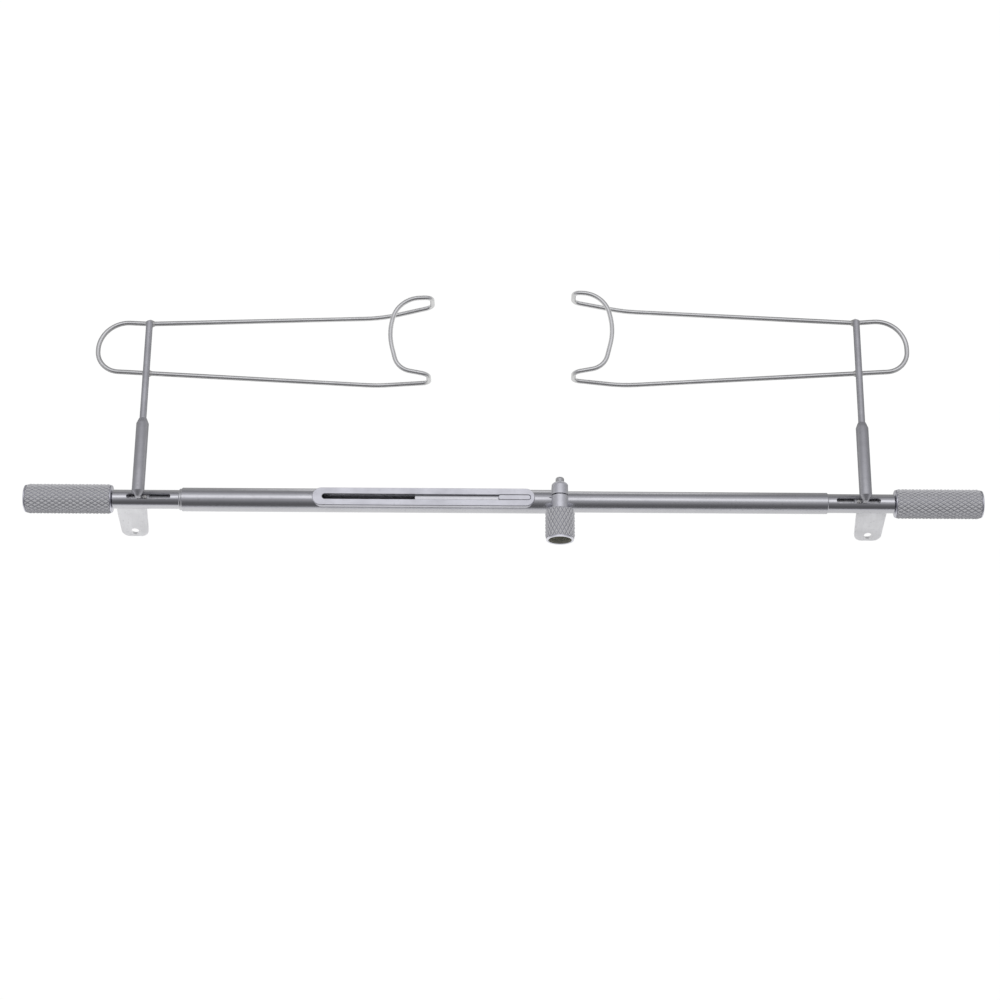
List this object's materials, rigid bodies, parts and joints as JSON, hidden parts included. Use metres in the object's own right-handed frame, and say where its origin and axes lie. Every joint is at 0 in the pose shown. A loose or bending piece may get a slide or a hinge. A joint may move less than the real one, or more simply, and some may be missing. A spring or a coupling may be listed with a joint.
{
  "type": "eye speculum",
  "caption": "Adjustable steel eye speculum with a telescoping bar, knurled end knobs, a split clamp and open wire lid blades on screw-driven posts.",
  "frame": {"origin": "on the bar's axis, midway between the outer ends of the two knobs", "axes": "+X along the bar to the sliding half, +Y from the bar towards the wire blades, +Z the side that the blade hooks rise on"},
  "size_m": [0.153, 0.0422, 0.0136],
  "materials": {
    "bar_steel": "fine satin, drawn along the bar",
    "satin_steel": "satin",
    "wire_steel": "electropolished satin wire",
    "knurled_steel": "diamond knurl, satin",
    "tab_steel": "matt satin sheet",
    "screw_steel": "turned"
  },
  "bodies": {
    "outer_frame": {"outer_tube": "bar_steel", "guide_strip": "satin_steel", "left_end_bush": "bar_steel", "upper_clamp_ear": "satin_steel", "lower_clamp_ear": "satin_steel", "left_slotted_rod": "bar_steel", "left_screw_bush": "screw_steel", "left_side_tab": "tab_steel"},
    "thrust_washer": {"clamp_washer": "screw_steel"},
    "clamp_handle": {"clamp_screw": "screw_steel", "clamp_barrel": "knurled_steel"},
    "right_half": {"inner_tube": "bar_steel", "guide_key": "satin_steel", "right_slotted_rod": "bar_steel", "right_screw_bush": "screw_steel", "right_side_tab": "tab_steel"},
    "left_drive": {"left_knob": "knurled_steel", "left_lead_screw": "screw_steel"},
    "left_carriage": {"left_travel_nut": "screw_steel", "left_guide_pin": "satin_steel", "left_post_socket": "satin_steel", "left_post_stem": "satin_steel", "left_blade_wire": "wire_steel", "left_upper_braze": "wire_steel", "left_lower_braze": "wire_steel"},
    "right_drive": {"right_knob": "knurled_steel", "right_lead_screw": "screw_steel"},
    "right_carriage": {"right_travel_nut": "screw_steel", "right_guide_pin": "satin_steel", "right_post_socket": "satin_steel", "right_post_stem": "satin_steel", "right_blade_wire": "wire_steel", "right_upper_braze": "wire_steel", "right_lower_braze": "wire_steel"}
  },
  "joints": [
    {"name": "right_half_slide", "type": "slide", "parent": "outer_frame", "child": "right_half", "axis": [1, 0, 0], "range_m": [-0.0165, 0]},
    {"name": "clamp_lift", "type": "slide", "parent": "outer_frame", "child": "thrust_washer", "axis": [0, -1, 0], "range_m": [0, 0.00105]},
    {"name": "clamp_screw_turn", "type": "hinge", "parent": "thrust_washer", "child": "clamp_handle", "pos_m": [0.00895, 0, 0.0028], "axis": [0, -1, 0], "range_deg": [0, 1080]},
    {"name": "left_knob_turn", "type": "hinge", "parent": "outer_frame", "child": "left_drive", "pos_m": [-0.0625, 0, 0], "axis": [-1, 0, 0], "range_deg": [-1080, 3000]},
    {"name": "left_blade_travel", "type": "slide", "parent": "outer_frame", "child": "left_carriage", "axis": [1, 0, 0], "range_m": [-0.0009, 0.0025]},
    {"name": "right_knob_turn", "type": "hinge", "parent": "right_half", "child": "right_drive", "pos_m": [0.0625, 0, 0], "axis": [1, 0, 0], "range_deg": [-1080, 3000]},
    {"name": "right_blade_travel", "type": "slide", "parent": "right_half", "child": "right_carriage", "axis": [-1, 0, 0], "range_m": [-0.0009, 0.0025]}
  ],
  "couplings": [
    {"joint": "clamp_screw_turn", "follows": "clamp_lift", "rad_per_m": 17952},
    {"joint": "left_knob_turn", "follows": "left_blade_travel", "rad_per_m": 20944},
    {"joint": "right_knob_turn", "follows": "right_blade_travel", "rad_per_m": 20944}
  ]
}
